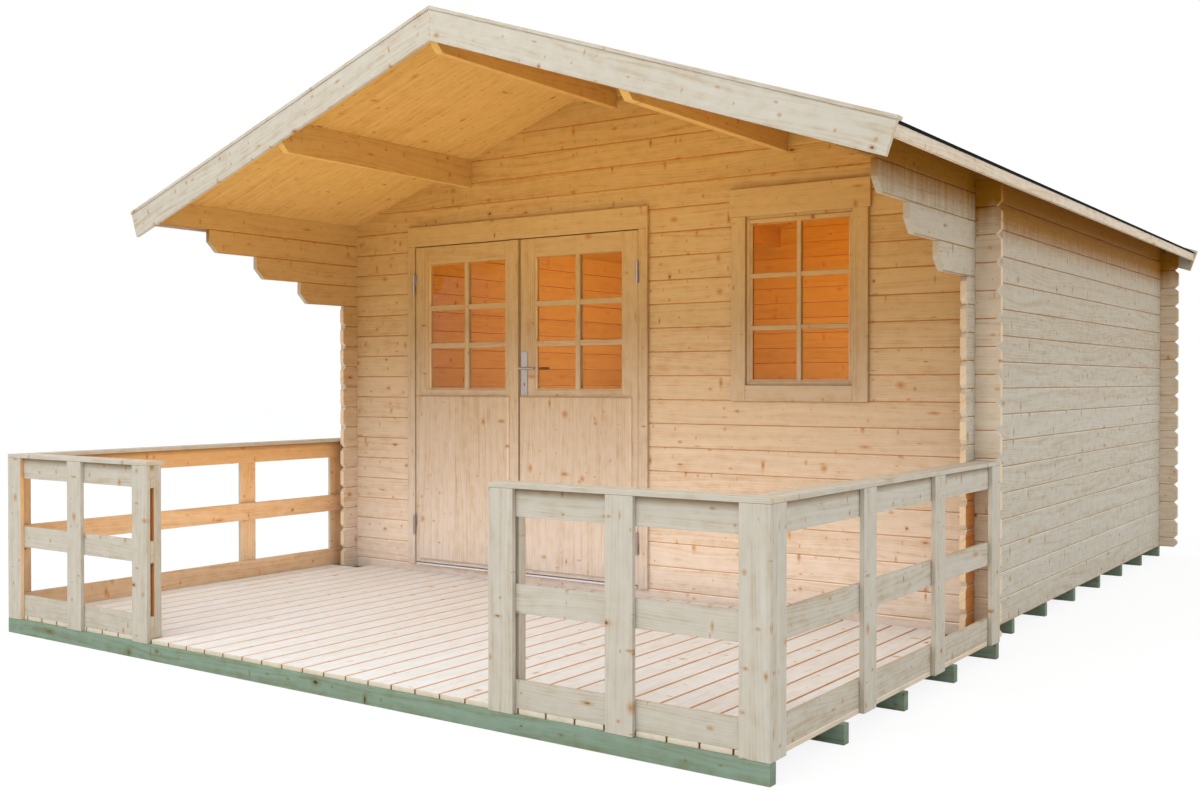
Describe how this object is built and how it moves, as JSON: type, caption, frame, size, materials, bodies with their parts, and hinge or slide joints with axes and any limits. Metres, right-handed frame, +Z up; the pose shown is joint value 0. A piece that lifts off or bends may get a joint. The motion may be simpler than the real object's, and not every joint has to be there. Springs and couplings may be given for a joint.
{
  "type": "log cabin",
  "caption": "Small interlocking log cabin with a gabled roof over a front porch, double glazed doors, a barred window and a railed timber terrace.",
  "frame": {"origin": "centre of the bounding box's bottom, on the ground under the joists", "axes": "+X to the right along the front, +Y from the terrace into the cabin, +Z up"},
  "size_m": [4.2258, 6.1174, 2.803],
  "materials": {
    "spruce": "planed, untreated",
    "treated_joist": "impregnated",
    "felt": "matt",
    "glass": "clear",
    "aluminium": "satin",
    "steel": "satin"
  },
  "bodies": {
    "cabin": {"barge_laths": "spruce", "bargeboards": "spruce", "cabin_floor": "spruce", "cabin_joists": "treated_joist", "deck": "spruce", "door_casing": "spruce", "door_frame": "spruce", "door_threshold": "aluminium", "eaves_fascias": "spruce", "frame_hinges": "steel", "front_gable": "spruce", "front_left_railing": "spruce", "front_right_railing": "spruce", "front_wall_left": "spruce", "front_wall_right": "spruce", "front_wall_sill": "spruce", "front_wall_top": "spruce", "left_eaves_logs": "spruce", "left_railing": "spruce", "left_roof_boards": "spruce", "left_wall": "spruce", "purlins": "spruce", "railing_caps": "spruce", "rear_gable": "spruce", "rear_wall": "spruce", "right_eaves_logs": "spruce", "right_railing": "spruce", "right_roof_boards": "spruce", "right_wall": "spruce", "roof_felt": "felt", "terrace_joists": "treated_joist", "window_casing": "spruce", "window_frame": "spruce", "window_glass": "glass", "window_sash": "spruce"},
    "left_door": {"left_leaf": "spruce", "left_leaf_panel": "spruce", "left_leaf_glass": "glass", "left_leaf_hinges": "steel"},
    "right_door": {"right_leaf": "spruce", "right_leaf_panel": "spruce", "right_leaf_glass": "glass", "right_leaf_hinges": "steel", "handle_plates": "steel"},
    "handle": {"lever_handle": "steel"}
  },
  "joints": [
    {"name": "left_door_hinge", "type": "hinge", "parent": "cabin", "child": "left_door", "pos_m": [-1.384, -0.95065, 1], "axis": [0, 0, -1], "range_deg": [0, 110]},
    {"name": "right_door_hinge", "type": "hinge", "parent": "cabin", "child": "right_door", "pos_m": [0.166, -0.95065, 1], "axis": [0, 0, 1], "range_deg": [0, 110]},
    {"name": "lever_turn", "type": "hinge", "parent": "right_door", "child": "handle", "pos_m": [-0.576, -0.92365, 1.261], "axis": [0, 1, 0], "range_deg": [0, 40], "stiffness_Nm_per_rad": 1.5, "springref_deg": -22.92}
  ]
}
